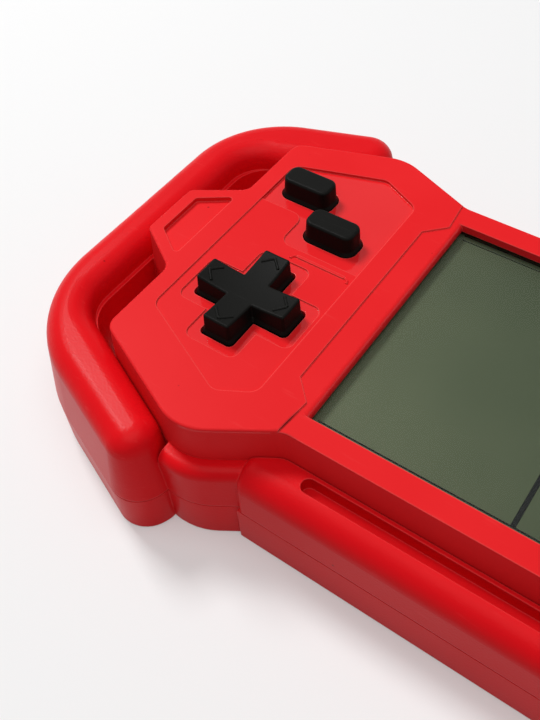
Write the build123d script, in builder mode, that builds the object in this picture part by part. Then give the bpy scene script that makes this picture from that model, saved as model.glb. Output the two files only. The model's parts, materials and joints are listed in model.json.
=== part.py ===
"""Handheld LCD game console with two carrying bumpers, a directional pad and rubber-dome buttons.

Row frame: X runs along the long side, Y towards the top edge, Z up out of the screen.
The origin is under the middle of the console, on the table. Millimetres.
"""
from build123d import *
from math import atan2, degrees, radians, tan
import os

os.makedirs("parts", exist_ok=True)

# Levels above the table
face_height = 33.0
shelf_height = 23.3
grip_height = 24.6
bumper_crest = 29.0
parting_height = 11.5

# Screen, with the face strips that border it
screen_width = 83.0
screen_height = 62.0
side_strip = 2.0
long_strip = 5.3
ledge_offset = 6.5
ledge_fall = 6.9
ledge_corner = 4.4
ledge_spread = 1.0
ledge_depth = 0.35
opening_round = 1.2
screen_lap = 2.0
window_thickness = 1.2
glass_thickness = 2.2
glass_lap = 1.4
reflector_thickness = 0.3
holder_wall = 1.0
assembly_gap = 0.2

# Face outline: each lobe is measured from the waist beside the screen
peak_top_run = 19.8
peak_top_rise = 7.8
peak_bottom_run = 17.4
peak_bottom_rise = 11.0
lobe_length = 45.8
lobe_fall_top = 1.2
lobe_fall_bottom = 1.5
tab_length = 11.7
tab_root_half = 15.0
tab_tip_half = 7.6
waist_radius = 6.0
peak_radius = 11.0
lobe_radius = 3.6
tab_root_radius = 3.0
tab_tip_radius = 1.8

# Housing
housing_wall = 2.0
face_plate = 2.2
wall_draft = 3.0
face_edge_radius = 0.5
lip_height = 2.0
lip_thickness = 0.9
fit_gap = 0.1
overrun = 1.0

# Skirt, bumpers and grips
skirt_reach = 4.3
skirt_radius = 2.4
valley_run = 4.1
bumper_width = 14.4
bumper_overlap = 1.2
bumper_top_corner_radius = 28.0
bumper_bottom_corner_radius = 32.0
bumper_slot_radius = 8.0
bumper_depth_top = 18.9
bumper_depth_bottom = 15.9
bumper_corner_extra = 2.2
bumper_draft = 7.3
bumper_round = 4.8
tip_run_top = 4.9
tip_run_bottom = 1.0
tip_slant = 5.4
tip_round_share = 0.45
tab_sink = 0.3
ridge_width = 1.0
grip_end_run = 5.8
grip_depth = 9.7
grip_end_radius = 1.6
grip_round = 5.2
groove_end_gap = 6.0
groove_offset = 1.5
groove_width = 3.3
groove_depth = 3.5
rear_draft = 0.3
rear_edge_chamfer = 0.4
seam_height = 0.3
seam_depth = 0.4

# Control deck on each lobe, measured from the waist and the lobe's edges
deck_depth = 0.35
pool_depth = 0.35
deck_margin = 4.4
deck_run = 9.4
deck_fall_top = 7.1
deck_fall_bottom = 10.0
deck_peak_fall_top = 9.1
deck_peak_fall_bottom = 11.3
deck_peak_run = 19.8
deck_foot_run = 17.0
deck_right_fall_top = 6.2
deck_right_fall_bottom = 4.5
deck_radius = 3.0
island_run = 29.7
island_y = 14.5
island_low_y = 4.9
island_radius = 2.6
rib_length = 12.2
rib_width = 0.7
rib_height = 0.35
rib_run = 17.5
rib_y = 2.9
tab_pocket_depth = 1.2
pocket_tip_margin = 3.1
pocket_tip_half = 6.0
pocket_root_run = 0.9
pocket_root_half = 11.2
pocket_radius = 0.9

# Directional pad
pad_run = 24.7
pad_y = -13.5
pad_span = 22.6
pad_arm = 6.8
pad_height = 5.0
pad_dish = 1.0
pad_draft = 3.0
pad_corner_radius = 0.8
pad_edge_radius = 0.45
pad_tilt = 3.5
pad_wall = 1.3
flare_reach = 0.45
flare_height = 0.9
pad_flange_reach = 1.5
button_flange_reach = 0.9
flange_thickness = 1.3
pad_flange_drop = 1.3
pad_hub_radius = 2.6
pad_core_roof = 1.0
pad_clearance = 0.35
pad_moat = 3.0
pad_moat_radius = 2.0
pivot_radius = 2.6
pivot_height = 1.0
pivot_gap = 0.3

# Pill buttons and the round turn button
pill_length = 12.4
pill_width = 6.2
pill_height = 5.0
pill_corner_radius = 2.2
pill_edge_radius = 0.7
pill_upper_run = 32.4
pill_upper_y = 21.3
pill_lower_run = 20.1
pill_lower_y = 11.8
button_clearance = 0.2
button_flange_drop = 0.3
button_travel = 1.0
round_radius = 10.5
round_height = 4.2
round_edge_radius = 1.0
round_moat = 3.5

# Rubber keypads
mat_thickness = 0.8
dome_radius = 2.3
dome_height = 1.5
plunger_radius = 1.6
plunger_rest_gap = 0.15
pad_dome_offset = 7.6
pad_mat_side = 21.6
pill_mat_margin = 1.0
turn_mat_side = 20.0
dome_slope = 25.0

# Board
board_thickness = 1.6
board_drop = 5.2
board_run = 36.5
board_margin = 2.0
board_screw_run = 6.0
board_screw_fall = 4.0
board_boss_radius = 2.3
board_screw_radius = 0.9
board_head_radius = 1.8
board_head_height = 1.2
zebra_width = 1.8
zebra_offset = 0.5
zebra_end_gap = 1.5
holder_ledge = 3.0
board_corner_radius = 3.0

# Case screws
case_screw_run = 22.5
case_screw_rise_low = 1.9
case_screw_rise_high = 1.1
case_screw_tab_margin = 5.9
post_radius = 3.0
screw_radius = 1.3
screw_head_radius = 2.5
screw_head_height = 1.8
screw_length = 15.0
screw_pocket_radius = 3.0
screw_seat = 4.0
rear_post_drop = 1.0
screw_play = 0.2
thread_gap = 0.05
recess_length = 2.6
recess_width = 0.6
recess_depth = 1.0

# Battery bay in the rear shell
cell_radius = 7.1
cell_length = 50.2
cell_nub_radius = 2.7
cell_nub_height = 1.0
cell_gap = 0.5
cell_lift = 0.3
bay_end_gap = 3.2
bay_wall = 1.5
door_thickness = 1.8
door_recess = 0.3
door_gap = 0.3
door_lap = 1.2
door_corner_radius = 1.0
tongue_length = 1.6
tongue_width = 8.0
tongue_thickness = 1.1
tongue_x = 18.0
latch_width = 12.0
latch_depth = 3.0
thumb_groove_count = 5
thumb_groove_pitch = 2.2
thumb_groove_width = 0.8
thumb_groove_length = 16.0
thumb_groove_depth = 0.5
contact_thickness = 0.4
contact_width = 9.0
contact_height = 11.0
tail_width = 3.0
leaf_half = 4.0
leaf_width = 5.0
bump_radius = 2.0
contact_gap = 0.1
cell_shift = 1.7
tail_play = 0.3

# Electronics under the board
blob_radius = 7.0
blob_height = 1.3
blob_round_share = 0.9
blob_run = 6.5
blob_y = -14.0
buzzer_radius = 11.0
buzzer_height = 6.0
buzzer_run = 20.5
buzzer_y = 4.0
buzzer_hole_radius = 1.5
capacitor_radius = 2.6
capacitor_height = 7.0
capacitor_run = 6.5
capacitor_y = 8.0
sound_slot_length = 14.0
sound_slot_width = 1.6
sound_slot_pitch = 3.4
sound_slot_count = 5

# Levels that follow from the sizes above
foot_spread = (face_height - shelf_height) * tan(radians(wall_draft))
ceiling = face_height - face_plate
deck_level = face_height - deck_depth
pool_level = deck_level - pool_depth
board_top = ceiling - board_drop
board_bottom = board_top - board_thickness
window_bottom = ceiling - window_thickness
glass_top = window_bottom - assembly_gap
glass_bottom = glass_top - glass_thickness
mat_top = board_top + mat_thickness
dome_top = mat_top + dome_height
plunger_gap = button_travel + plunger_rest_gap
pad_plunger_gap = (pad_dome_offset + plunger_radius) * tan(radians(pad_tilt)) + plunger_rest_gap
frame_plate_bottom = shelf_height - housing_wall
floor_level = housing_wall
rear_post_top = parting_height - rear_post_drop
bay_half_x = cell_length / 2 + bay_end_gap
bay_half_y = 2 * cell_radius + 1.5 * cell_gap
cell_centre_z = door_recess + door_thickness + cell_lift + cell_radius
bay_ceiling = cell_centre_z + cell_radius + cell_lift
cell_row_y = cell_radius + cell_gap / 2

# Places that follow from the screen and the waist
waist_x = screen_width / 2 + side_strip
waist_y = screen_height / 2 + long_strip
peak_top_x = waist_x + peak_top_run
peak_top_y = waist_y + peak_top_rise
peak_bottom_x = waist_x + peak_bottom_run
peak_bottom_y = waist_y + peak_bottom_rise
lobe_reach = waist_x + lobe_length
lobe_edge_top = waist_y - lobe_fall_top
lobe_edge_bottom = waist_y - lobe_fall_bottom
tab_reach = lobe_reach + tab_length
valley_x = peak_bottom_x + valley_run
bumper_inner_x = tab_reach - tab_sink
bumper_reach = bumper_inner_x + bumper_width
grip_end_x = waist_x + grip_end_run
grip_reach_y = waist_y + grip_depth
groove_half_length = waist_x - groove_end_gap
groove_y = waist_y + groove_offset + groove_width / 2
ledge_x = screen_width / 2 + ledge_offset
ledge_half = screen_height / 2 - ledge_fall
pad_x = waist_x + pad_run
pad_centre = (-pad_x, pad_y)
turn_centre = (pad_x, pad_y)
right_pills = [(waist_x + pill_upper_run, pill_upper_y), (waist_x + pill_lower_run, pill_lower_y)]
left_pills = [(-x, y) for x, y in right_pills]
board_length = 2 * (waist_x + board_run)
board_width = screen_height + 2 * board_margin
board_screw_x = waist_x + board_screw_run
board_screw_y = screen_height / 2 - board_screw_fall
zebra_length = screen_width - 2 * zebra_end_gap
case_screw_x = waist_x + case_screw_run
blob_x = waist_x + blob_run
buzzer_x = waist_x + buzzer_run
capacitor_x = -waist_x - capacitor_run


def both_sides(points):
    """Continue an outline given for the left side round the mirrored right side."""
    return points + [(-x, y) for x, y in reversed(points)]


def rounded(points, corner_radii):
    """A filled outline through points, each corner with its own radius."""
    with BuildSketch() as shape:
        with BuildLine():
            FilletPolyline(*points, radius=corner_radii, close=True)
        make_face()
    return shape.sketch


def face_plan(margin=0.0):
    """The outline of the raised face with its two end tabs, grown by a margin."""
    left = [
        (-waist_x, waist_y),
        (-peak_top_x, peak_top_y),
        (-lobe_reach, lobe_edge_top),
        (-lobe_reach, tab_root_half),
        (-tab_reach, tab_tip_half),
        (-tab_reach, -tab_tip_half),
        (-lobe_reach, -tab_root_half),
        (-lobe_reach, -lobe_edge_bottom),
        (-peak_bottom_x, -peak_bottom_y),
        (-waist_x, -waist_y),
    ]
    left_radii = [waist_radius, peak_radius, lobe_radius, tab_root_radius, tab_tip_radius,
                  tab_tip_radius, tab_root_radius, lobe_radius, peak_radius, waist_radius]
    with BuildSketch() as shape:
        add(rounded(both_sides(left), left_radii + left_radii[::-1]))
        if margin:
            offset(amount=margin)
    return shape.sketch


def skirt_plan(margin=0.0):
    """The rounded shoulder round the waist and the inner chamfers of the lobes."""
    with BuildSketch() as shape:
        add(face_plan(skirt_reach + margin))
        Rectangle(2 * (valley_x + margin), 4 * peak_bottom_y, mode=Mode.INTERSECT)
    return shape.sketch


def chamfer_y(x, side):
    """The inner edge of the bumper at x, just inside the lobe's top (1) or bottom (-1) chamfer."""
    if side > 0:
        slope = (peak_top_y - lobe_edge_top) / (lobe_reach - peak_top_x)
        return lobe_edge_top + slope * (x + lobe_reach) - bumper_overlap
    slope = (peak_bottom_y - lobe_edge_bottom) / (lobe_reach - peak_bottom_x)
    return -lobe_edge_bottom - slope * (x + lobe_reach) + bumper_overlap


def band_plan(inner_x, margin=0.0):
    """The C-shaped band of one bumper, with a round tip at each end."""
    top_x = -peak_top_x - tip_run_top
    bottom_x = -peak_bottom_x - tip_run_bottom
    slant_x = bottom_x - tip_slant
    corner_depth = bumper_depth_bottom + bumper_corner_extra
    points = [
        (slant_x, chamfer_y(slant_x, -1) - bumper_depth_bottom),
        (-bumper_reach, chamfer_y(-bumper_reach, -1) - corner_depth),
        (-bumper_reach, chamfer_y(-bumper_reach, 1) + bumper_depth_top),
        (top_x, chamfer_y(top_x, 1) + bumper_depth_top),
        (top_x, chamfer_y(top_x, 1)),
        (-inner_x, chamfer_y(-inner_x, 1)),
        (-inner_x, chamfer_y(-inner_x, -1)),
        (bottom_x, chamfer_y(bottom_x, -1)),
    ]
    slot = bumper_slot_radius
    top_tip = bumper_depth_top * tip_round_share
    bottom_tip = bumper_depth_bottom * tip_round_share
    with BuildSketch() as shape:
        add(rounded(points, [bottom_tip, bumper_bottom_corner_radius, bumper_top_corner_radius,
                             top_tip, top_tip, slot, slot, bottom_tip]))
        if margin:
            offset(amount=margin)
    return shape.sketch


def drafted_band(inner_x, level, height, draft, inset=0.0):
    """One bumper's band from a level up or down, its walls drafted inward."""
    with BuildPart() as band:
        for rise in (0, height):
            with BuildSketch(Plane.XY.offset(level + rise)):
                add(band_plan(inner_x, -inset - abs(rise) * tan(radians(draft))))
        loft(ruled=True)
    return band.part


def grip_plan(margin=0.0):
    """The two grip bars, below and above the screen."""
    depth = grip_reach_y - waist_y + housing_wall
    with BuildSketch() as shape:
        with Locations((0, grip_reach_y - depth / 2), (0, depth / 2 - grip_reach_y)):
            Rectangle(2 * (grip_end_x + margin), depth + 2 * margin)
    return shape.sketch


def deck_plan():
    """The shallow sunken deck round the controls of the left lobe."""
    points = [
        (-lobe_reach + deck_margin, lobe_edge_top - deck_fall_top),
        (-waist_x - deck_peak_run, peak_top_y - deck_peak_fall_top),
        (-waist_x - deck_run, waist_y - deck_right_fall_top),
        (-waist_x - deck_run, -waist_y + deck_right_fall_bottom),
        (-waist_x - deck_foot_run, -peak_bottom_y + deck_peak_fall_bottom),
        (-lobe_reach + deck_margin, -lobe_edge_bottom + deck_fall_bottom),
    ]
    return rounded(points, deck_radius)


def cross_plan(span, arm, corner_radius=0.0):
    """A plus sign about the origin."""
    with BuildSketch() as shape:
        Rectangle(span, arm)
        Rectangle(arm, span)
        if corner_radius:
            outer_corners = shape.vertices().filter_by(lambda v: max(abs(v.X), abs(v.Y)) > (span + arm) / 4)
            fillet(outer_corners, corner_radius)
    return shape.sketch


case_screw_places = both_sides([
    (-case_screw_x, -waist_y - case_screw_rise_low),
    (-case_screw_x, waist_y + case_screw_rise_high),
    (-lobe_reach + case_screw_tab_margin, 0),
])
board_screw_places = both_sides([(-board_screw_x, board_screw_y), (-board_screw_x, -board_screw_y)])

# Front cover: raised face, sunken decks, screen opening and the walls down to the shelf
with BuildPart() as front_cover:
    with BuildSketch(Plane.XY.offset(face_height)):
        add(face_plan())
    extrude(amount=shelf_height - face_height, taper=-wall_draft)
    fillet(front_cover.edges().group_by(Axis.Z)[-1], face_edge_radius)
    with BuildSketch(Plane.XY.offset(shelf_height)):
        add(face_plan(foot_spread - housing_wall))
    extrude(amount=ceiling - shelf_height, mode=Mode.SUBTRACT)
    with BuildSketch(Plane.XY.offset(shelf_height - lip_height)):
        add(face_plan(foot_spread - housing_wall + lip_thickness))
        add(face_plan(foot_spread - housing_wall), mode=Mode.SUBTRACT)
    extrude(amount=lip_height + overrun)
    with BuildSketch(Plane.XY.offset(deck_level)) as deck:
        add(deck_plan())
        mirror(about=Plane.YZ)
    extrude(amount=deck_depth + overrun, mode=Mode.SUBTRACT)
    with BuildSketch(Plane.XY.offset(pool_level)):
        with BuildLine():
            FilletPolyline(
                (-lobe_reach, island_y),
                (-waist_x - island_run, island_y),
                (-waist_x - island_run, island_low_y),
                (-waist_x, island_low_y),
                (-waist_x, peak_top_y),
                (-lobe_reach, peak_top_y),
                radius=[0, island_radius, island_radius, 0, 0, 0],
                close=True,
            )
        make_face()
        mirror(about=Plane.YZ)
        add(deck.sketch_local, mode=Mode.INTERSECT)
        with Locations(pad_centre):
            add(cross_plan(pad_span + 2 * pad_moat, pad_arm + 2 * pad_moat, pad_moat_radius))
        with Locations(turn_centre):
            Circle(round_radius + round_moat)
    extrude(amount=pool_depth + overrun, mode=Mode.SUBTRACT)
    with BuildSketch(Plane.XY.offset(deck_level)):
        with Locations((-waist_x - rib_run, rib_y), (waist_x + rib_run, rib_y)):
            SlotOverall(rib_length, rib_width)
    extrude(amount=rib_height)
    with BuildSketch(Plane.XY.offset(face_height - tab_pocket_depth)):
        add(rounded(
            [
                (-tab_reach + pocket_tip_margin, pocket_tip_half),
                (-tab_reach + pocket_tip_margin, -pocket_tip_half),
                (-lobe_reach - pocket_root_run, -pocket_root_half),
                (-lobe_reach - pocket_root_run, pocket_root_half),
            ],
            pocket_radius,
        ))
        mirror(about=Plane.YZ)
    extrude(amount=tab_pocket_depth + overrun, mode=Mode.SUBTRACT)
    with BuildSketch(Plane.XY.offset(face_height - ledge_depth)):
        ledge_outer_x = waist_x + ledge_spread
        ledge_outer_y = waist_y + overrun
        with BuildLine():
            Polyline(
                *both_sides([
                    (-ledge_outer_x, ledge_outer_y),
                    (-ledge_x + ledge_corner, ledge_half + ledge_corner),
                    (-ledge_x, ledge_half),
                    (-ledge_x, -ledge_half),
                    (-ledge_x + ledge_corner, -ledge_half - ledge_corner),
                    (-ledge_outer_x, -ledge_outer_y),
                ]),
                close=True,
            )
        make_face()
    extrude(amount=ledge_depth + overrun, mode=Mode.SUBTRACT)
    with BuildSketch(Plane.XY.offset(ceiling)):
        Rectangle(screen_width, screen_height)
        with Locations(pad_centre):
            add(cross_plan(
                pad_span + 2 * (flare_reach + pad_clearance),
                pad_arm + 2 * (flare_reach + pad_clearance),
                pad_corner_radius + flare_reach,
            ))
        with Locations(*left_pills, *right_pills):
            RectangleRounded(
                pill_length + 2 * (flare_reach + button_clearance),
                pill_width + 2 * (flare_reach + button_clearance),
                pill_corner_radius + flare_reach + button_clearance,
            )
        with Locations(turn_centre):
            Circle(round_radius + flare_reach + button_clearance)
    extrude(amount=face_plate + overrun, mode=Mode.SUBTRACT)
    fillet(front_cover.edges().filter_by(Axis.Y).filter_by(
        lambda e: abs(abs(e.center().X) - screen_width / 2) < fit_gap
        and abs(e.center().Z - face_height + ledge_depth) < fit_gap), opening_round)
    with BuildSketch(Plane.XY.offset(rear_post_top + fit_gap)):
        with Locations(*case_screw_places):
            Circle(post_radius)
    extrude(amount=ceiling - rear_post_top - fit_gap)
    with BuildSketch(Plane.XY.offset(board_top)):
        with Locations(*board_screw_places):
            Circle(board_boss_radius)
    extrude(amount=ceiling - board_top)
    with BuildSketch(Plane.XY.offset(rear_post_top + fit_gap)):
        with Locations(*case_screw_places):
            Circle(screw_radius)
    extrude(amount=screw_length, mode=Mode.SUBTRACT)
    with BuildSketch(Plane.XY.offset(board_top)):
        with Locations(*board_screw_places):
            Circle(board_screw_radius)
    extrude(amount=ceiling - board_top - housing_wall, mode=Mode.SUBTRACT)
front_cover.part.label = "front_cover"
export_step(front_cover.part, "parts/front_cover.step")

# Rounded forms that the surround is made of, above the parting plane
with BuildPart() as skirt_form:
    with BuildSketch(Plane.XY.offset(parting_height)):
        add(skirt_plan())
    extrude(amount=shelf_height - parting_height)
    fillet(skirt_form.edges().group_by(Axis.Z)[-1].filter_by(
        lambda e: abs(abs(e.center().X) - valley_x) > overrun), skirt_radius)

band_blank = drafted_band(bumper_inner_x, parting_height, bumper_crest - parting_height, bumper_draft)
with BuildPart() as band_form:
    add(band_blank)
    fillet(band_form.edges().group_by(Axis.Z)[-1], bumper_round)

with BuildPart() as grip_form:
    with BuildSketch(Plane.XY.offset(parting_height)):
        add(grip_plan())
    extrude(amount=grip_height - parting_height)
    fillet(grip_form.edges().group_by(Axis.Z)[-1].filter_by(Axis.X).filter_by(
        lambda e: abs(e.center().Y) > waist_y), grip_round)
    fillet(grip_form.edges().filter_by(
        lambda e: abs(abs(e.center().X) - grip_end_x) < fit_gap and abs(e.center().Y) > waist_y
        and e.center().Z > parting_height + fit_gap), grip_end_radius)

# Front frame: the upper half of both bumpers, the shoulder round the waist and both grip bars
band_ridge = drafted_band(
    bumper_inner_x - ridge_width, parting_height, shelf_height - parting_height, bumper_draft)
band_cavity = drafted_band(
    bumper_inner_x - ridge_width,
    parting_height,
    bumper_crest - bumper_round - parting_height,
    bumper_draft,
    housing_wall,
)
with BuildPart() as front_frame:
    add(band_form.part)
    add(band_ridge)
    mirror(about=Plane.YZ)
    add(skirt_form.part)
    add(grip_form.part)
    with BuildSketch(Plane.XY.offset(parting_height)):
        add(face_plan(foot_spread))
        Rectangle(2 * (bumper_inner_x + housing_wall), 2 * (tab_tip_half + foot_spread))
    extrude(amount=shelf_height - parting_height)
    with BuildSketch(Plane.XY.offset(shelf_height)):
        add(face_plan(foot_spread + fit_gap))
    extrude(amount=face_height - shelf_height, mode=Mode.SUBTRACT)
    with BuildSketch(Plane.XY.offset(shelf_height - lip_height - fit_gap)):
        add(face_plan(foot_spread - housing_wall + lip_thickness + fit_gap))
    extrude(amount=lip_height + overrun, mode=Mode.SUBTRACT)
    with BuildSketch(Plane.XY.offset(parting_height)):
        add(face_plan(foot_spread - housing_wall))
        add(skirt_plan(-housing_wall))
        add(grip_plan(-housing_wall))
    extrude(amount=grip_height - groove_depth - housing_wall - parting_height, mode=Mode.SUBTRACT)
    with BuildSketch(Plane.XY.offset(parting_height)):
        add(face_plan(foot_spread - housing_wall))
    extrude(amount=frame_plate_bottom - parting_height, mode=Mode.SUBTRACT)
    with BuildSketch(Plane.XY.offset(grip_height - groove_depth)):
        with Locations((0, groove_y), (0, -groove_y)):
            SlotOverall(2 * groove_half_length, groove_width)
    extrude(amount=groove_depth + overrun, mode=Mode.SUBTRACT)
    add([band_cavity, band_cavity.mirror(Plane.YZ)], mode=Mode.SUBTRACT)
front_frame.part.label = "front_frame"
export_step(front_frame.part, "parts/front_frame.step")

# Lower halves of the same forms, drafted inward to the table
lower_blanks = [drafted_band(bumper_inner_x - ridge_width, parting_height, -parting_height, rear_draft)]
for plan in (face_plan(foot_spread), skirt_plan(), grip_plan()):
    with BuildPart() as lower_blank:
        with BuildSketch(Plane.XY.offset(parting_height)):
            add(plan)
        extrude(amount=-parting_height, taper=rear_draft)
    lower_blanks.append(lower_blank.part)
lower_forms = []
for blank in lower_blanks:
    with BuildPart() as lower_form:
        add(blank)
        chamfer(lower_form.edges().group_by(Axis.Z)[0], rear_edge_chamfer)
    lower_forms.append(lower_form.part)

# Rear shell: lower bumper halves, floor, screw posts, battery bay and sound slots
with BuildPart() as rear_shell:
    for form in lower_forms:
        add(form)
    with BuildSketch():
        Rectangle(2 * (bumper_inner_x + housing_wall), 2 * tab_tip_half)
    extrude(amount=parting_height)
    mirror(about=Plane.YZ)
    with BuildSketch(Plane.XY.offset(parting_height - seam_height)):
        Rectangle(3 * bumper_reach, 3 * peak_bottom_y)
        with BuildSketch(mode=Mode.SUBTRACT):
            add(face_plan(foot_spread - seam_depth))
            add(skirt_plan(-seam_depth))
            add(grip_plan(-seam_depth))
            add(band_plan(bumper_inner_x - ridge_width, -seam_depth))
            mirror(about=Plane.YZ)
    extrude(amount=seam_height, mode=Mode.SUBTRACT)
    with BuildSketch(Plane.XY.offset(floor_level)):
        add(face_plan(foot_spread - housing_wall))
        add(skirt_plan(-housing_wall))
        add(grip_plan(-housing_wall))
        add(band_plan(bumper_inner_x - ridge_width, -housing_wall))
        mirror(about=Plane.YZ)
    extrude(amount=parting_height, mode=Mode.SUBTRACT)
    with BuildSketch():
        with Locations(*case_screw_places):
            Circle(screw_pocket_radius + bay_wall)
    extrude(amount=rear_post_top)
    with BuildSketch():
        Rectangle(2 * (bay_half_x + bay_wall), 2 * (bay_half_y + bay_wall))
    extrude(amount=bay_ceiling + bay_wall)
    with BuildSketch():
        Rectangle(2 * bay_half_x, 2 * bay_half_y)
    extrude(amount=bay_ceiling, mode=Mode.SUBTRACT)
    with BuildSketch():
        RectangleRounded(2 * (bay_half_x + door_lap), 2 * bay_half_y, door_corner_radius)
    extrude(amount=door_recess + door_thickness + fit_gap, mode=Mode.SUBTRACT)
    with BuildSketch(Plane.XY.offset(door_recess + door_thickness)):
        with Locations((-tongue_x, -bay_half_y), (tongue_x, -bay_half_y)):
            Rectangle(tongue_width + 2 * door_gap, 2 * (tongue_length + door_gap))
    extrude(amount=2 * tongue_thickness, mode=Mode.SUBTRACT)
    with BuildSketch():
        with Locations(*case_screw_places):
            Circle(screw_pocket_radius)
    extrude(amount=screw_seat, mode=Mode.SUBTRACT)
    with BuildSketch():
        with Locations(*case_screw_places):
            Circle(screw_radius + screw_play)
    extrude(amount=rear_post_top, mode=Mode.SUBTRACT)
    with BuildSketch():
        with Locations((buzzer_x, buzzer_y)):
            with GridLocations(0, sound_slot_pitch, 1, sound_slot_count):
                SlotOverall(sound_slot_length, sound_slot_width)
    extrude(amount=floor_level + overrun, mode=Mode.SUBTRACT)
    with BuildSketch(Plane.XY.offset(bay_ceiling)):
        tail_x = contact_thickness / 2 - bay_half_x
        with Locations((tail_x, cell_row_y), (tail_x, -cell_row_y)):
            Rectangle(contact_thickness + 2 * tail_play, tail_width + 2 * tail_play)
    extrude(amount=bay_wall, mode=Mode.SUBTRACT)
rear_shell.part.label = "rear_shell"
export_step(rear_shell.part, "parts/rear_shell.step")

# Battery door: hooks under the floor with two tongues and swings out about its lower edge
door_top = door_recess + door_thickness
door_half_y = bay_half_y - door_gap
with BuildPart() as battery_door:
    with BuildSketch(Plane.XY.offset(door_recess)):
        RectangleRounded(2 * (bay_half_x + door_lap - door_gap), 2 * door_half_y, door_corner_radius)
    extrude(amount=door_thickness)
    with BuildSketch(Plane.XY.offset(door_top)):
        with Locations((-tongue_x, -door_half_y), (tongue_x, -door_half_y)):
            Rectangle(tongue_width, 2 * tongue_length)
    extrude(amount=tongue_thickness)
    with BuildSketch(Plane.XY.offset(door_recess)):
        with Locations((0, door_half_y / 2)):
            with GridLocations(0, thumb_groove_pitch, 1, thumb_groove_count):
                SlotOverall(thumb_groove_length, thumb_groove_width)
    extrude(amount=thumb_groove_depth, mode=Mode.SUBTRACT)
    with BuildSketch(Plane.XY.offset(door_recess)):
        with Locations((-latch_width / 2, door_half_y), (latch_width / 2, door_half_y)):
            Rectangle(thumb_groove_width, 2 * latch_depth)
    extrude(amount=door_thickness, mode=Mode.SUBTRACT)
battery_door.part.label = "battery_door"
export_step(battery_door.part, "parts/battery_door.step")

# Screen stack: clear window, liquid-crystal glass, reflector sheet, holder and rubber contact strips
glass_half_x = screen_width / 2 + glass_lap
glass_half_y = screen_height / 2 + glass_lap
with BuildPart() as screen_window:
    with BuildSketch(Plane.XY.offset(window_bottom)):
        Rectangle(screen_width + 2 * screen_lap, screen_height + 2 * screen_lap)
    extrude(amount=window_thickness)
screen_window.part.label = "screen_window"
export_step(screen_window.part, "parts/screen_window.step")

with BuildPart() as lcd_glass:
    with BuildSketch(Plane.XY.offset(glass_bottom)):
        Rectangle(2 * glass_half_x, 2 * glass_half_y)
    extrude(amount=glass_thickness)
lcd_glass.part.label = "lcd_glass"
export_step(lcd_glass.part, "parts/lcd_glass.step")

zebra_y = screen_height / 2 + zebra_offset
with BuildPart() as lcd_reflector:
    with BuildSketch(Plane.XY.offset(glass_bottom - reflector_thickness)):
        Rectangle(2 * (glass_half_x - holder_ledge) - fit_gap, 2 * (zebra_y - zebra_width) - fit_gap)
    extrude(amount=reflector_thickness)
lcd_reflector.part.label = "lcd_reflector"
export_step(lcd_reflector.part, "parts/lcd_reflector.step")

with BuildPart() as lcd_holder:
    with BuildSketch(Plane.XY.offset(board_top)):
        Rectangle(2 * (glass_half_x + fit_gap + holder_wall), 2 * (glass_half_y + fit_gap + holder_wall))
    extrude(amount=window_bottom - board_top)
    with BuildSketch(Plane.XY.offset(glass_bottom)):
        Rectangle(2 * (glass_half_x + fit_gap), 2 * (glass_half_y + fit_gap))
    extrude(amount=window_bottom - glass_bottom, mode=Mode.SUBTRACT)
    with BuildSketch(Plane.XY.offset(board_top)):
        Rectangle(2 * (glass_half_x - holder_ledge), 2 * (zebra_y - zebra_width))
        with Locations((0, zebra_y), (0, -zebra_y)):
            Rectangle(zebra_length + 2 * fit_gap, zebra_width + 2 * fit_gap)
    extrude(amount=glass_bottom - board_top, mode=Mode.SUBTRACT)
lcd_holder.part.label = "lcd_holder"
export_step(lcd_holder.part, "parts/lcd_holder.step")

with BuildPart() as zebra_strips:
    with BuildSketch(Plane.XY.offset(board_top)):
        with Locations((0, zebra_y), (0, -zebra_y)):
            Rectangle(zebra_length, zebra_width)
    extrude(amount=glass_bottom - board_top)
zebra_strips.part.label = "zebra_strips"
export_step(zebra_strips.part, "parts/zebra_strips.step")

# Board and what is soldered to its underside
with BuildPart() as circuit_board:
    with BuildSketch(Plane.XY.offset(board_bottom)):
        RectangleRounded(board_length, board_width, board_corner_radius)
        with Locations(*board_screw_places):
            Circle(board_screw_radius + fit_gap, mode=Mode.SUBTRACT)
    extrude(amount=board_thickness)
circuit_board.part.label = "circuit_board"
export_step(circuit_board.part, "parts/circuit_board.step")

with BuildPart() as chip_blob:
    with BuildSketch(Plane.XY.offset(board_bottom)):
        with Locations((blob_x, blob_y)):
            Circle(blob_radius)
    extrude(amount=-blob_height)
    fillet(chip_blob.edges().group_by(Axis.Z)[0], blob_height * blob_round_share)
chip_blob.part.label = "chip_blob"
export_step(chip_blob.part, "parts/chip_blob.step")

with BuildPart() as buzzer:
    with BuildSketch(Plane.XY.offset(board_bottom)):
        with Locations((buzzer_x, buzzer_y)):
            Circle(buzzer_radius)
    extrude(amount=-buzzer_height)
    with BuildSketch(Plane.XY.offset(board_bottom - buzzer_height)):
        with Locations((buzzer_x, buzzer_y)):
            Circle(buzzer_hole_radius)
    extrude(amount=housing_wall, mode=Mode.SUBTRACT)
buzzer.part.label = "buzzer"
export_step(buzzer.part, "parts/buzzer.step")

with BuildPart() as capacitor:
    with BuildSketch(Plane.XY.offset(board_bottom)):
        with Locations((capacitor_x, capacitor_y)):
            Circle(capacitor_radius)
    extrude(amount=-capacitor_height)
capacitor.part.label = "capacitor"
export_step(capacitor.part, "parts/capacitor.step")

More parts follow.
